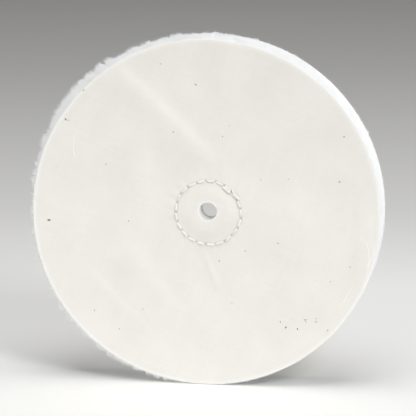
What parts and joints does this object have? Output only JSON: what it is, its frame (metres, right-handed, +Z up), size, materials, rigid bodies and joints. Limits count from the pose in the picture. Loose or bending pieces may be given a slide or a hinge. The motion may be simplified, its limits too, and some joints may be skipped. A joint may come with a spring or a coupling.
{
  "type": "buffing wheel",
  "caption": "Loose cotton buffing wheel: a stack of round muslin plies held by a ring of lockstitch round a plain arbor hole, open and frayed at the rim.",
  "frame": {"origin": "centre of the arbor hole, half way through the stack of plies", "axes": "Y is the wheel's axis with the front face towards -Y, +Z is up, and +X is to the right seen from the front"},
  "size_m": [0.1524, 0.022, 0.1524],
  "materials": {
    "muslin": "unbleached plain weave with seed flecks",
    "sewing_thread": "twisted cotton thread"
  },
  "bodies": {
    "root": {"ply_01": "muslin", "ply_02": "muslin", "ply_03": "muslin", "ply_04": "muslin", "ply_05": "muslin", "ply_06": "muslin", "ply_07": "muslin", "ply_08": "muslin", "ply_09": "muslin", "ply_10": "muslin", "ply_11": "muslin", "ply_12": "muslin", "ply_13": "muslin", "ply_14": "muslin", "ply_15": "muslin", "ply_16": "muslin", "ply_17": "muslin", "ply_18": "muslin", "ply_19": "muslin", "ply_20": "muslin", "ply_21": "muslin", "ply_22": "muslin", "ply_23": "muslin", "ply_24": "muslin", "ply_25": "muslin", "ply_26": "muslin", "ply_27": "muslin", "ply_28": "muslin", "ply_29": "muslin", "ply_30": "muslin", "ply_31": "muslin", "ply_32": "muslin", "ply_33": "muslin", "ply_34": "muslin", "ply_35": "muslin", "ply_36": "muslin", "ply_37": "muslin", "ply_38": "muslin", "ply_39": "muslin", "ply_40": "muslin", "needle_thread": "sewing_thread", "bobbin_thread": "sewing_thread"}
  },
  "joints": []
}
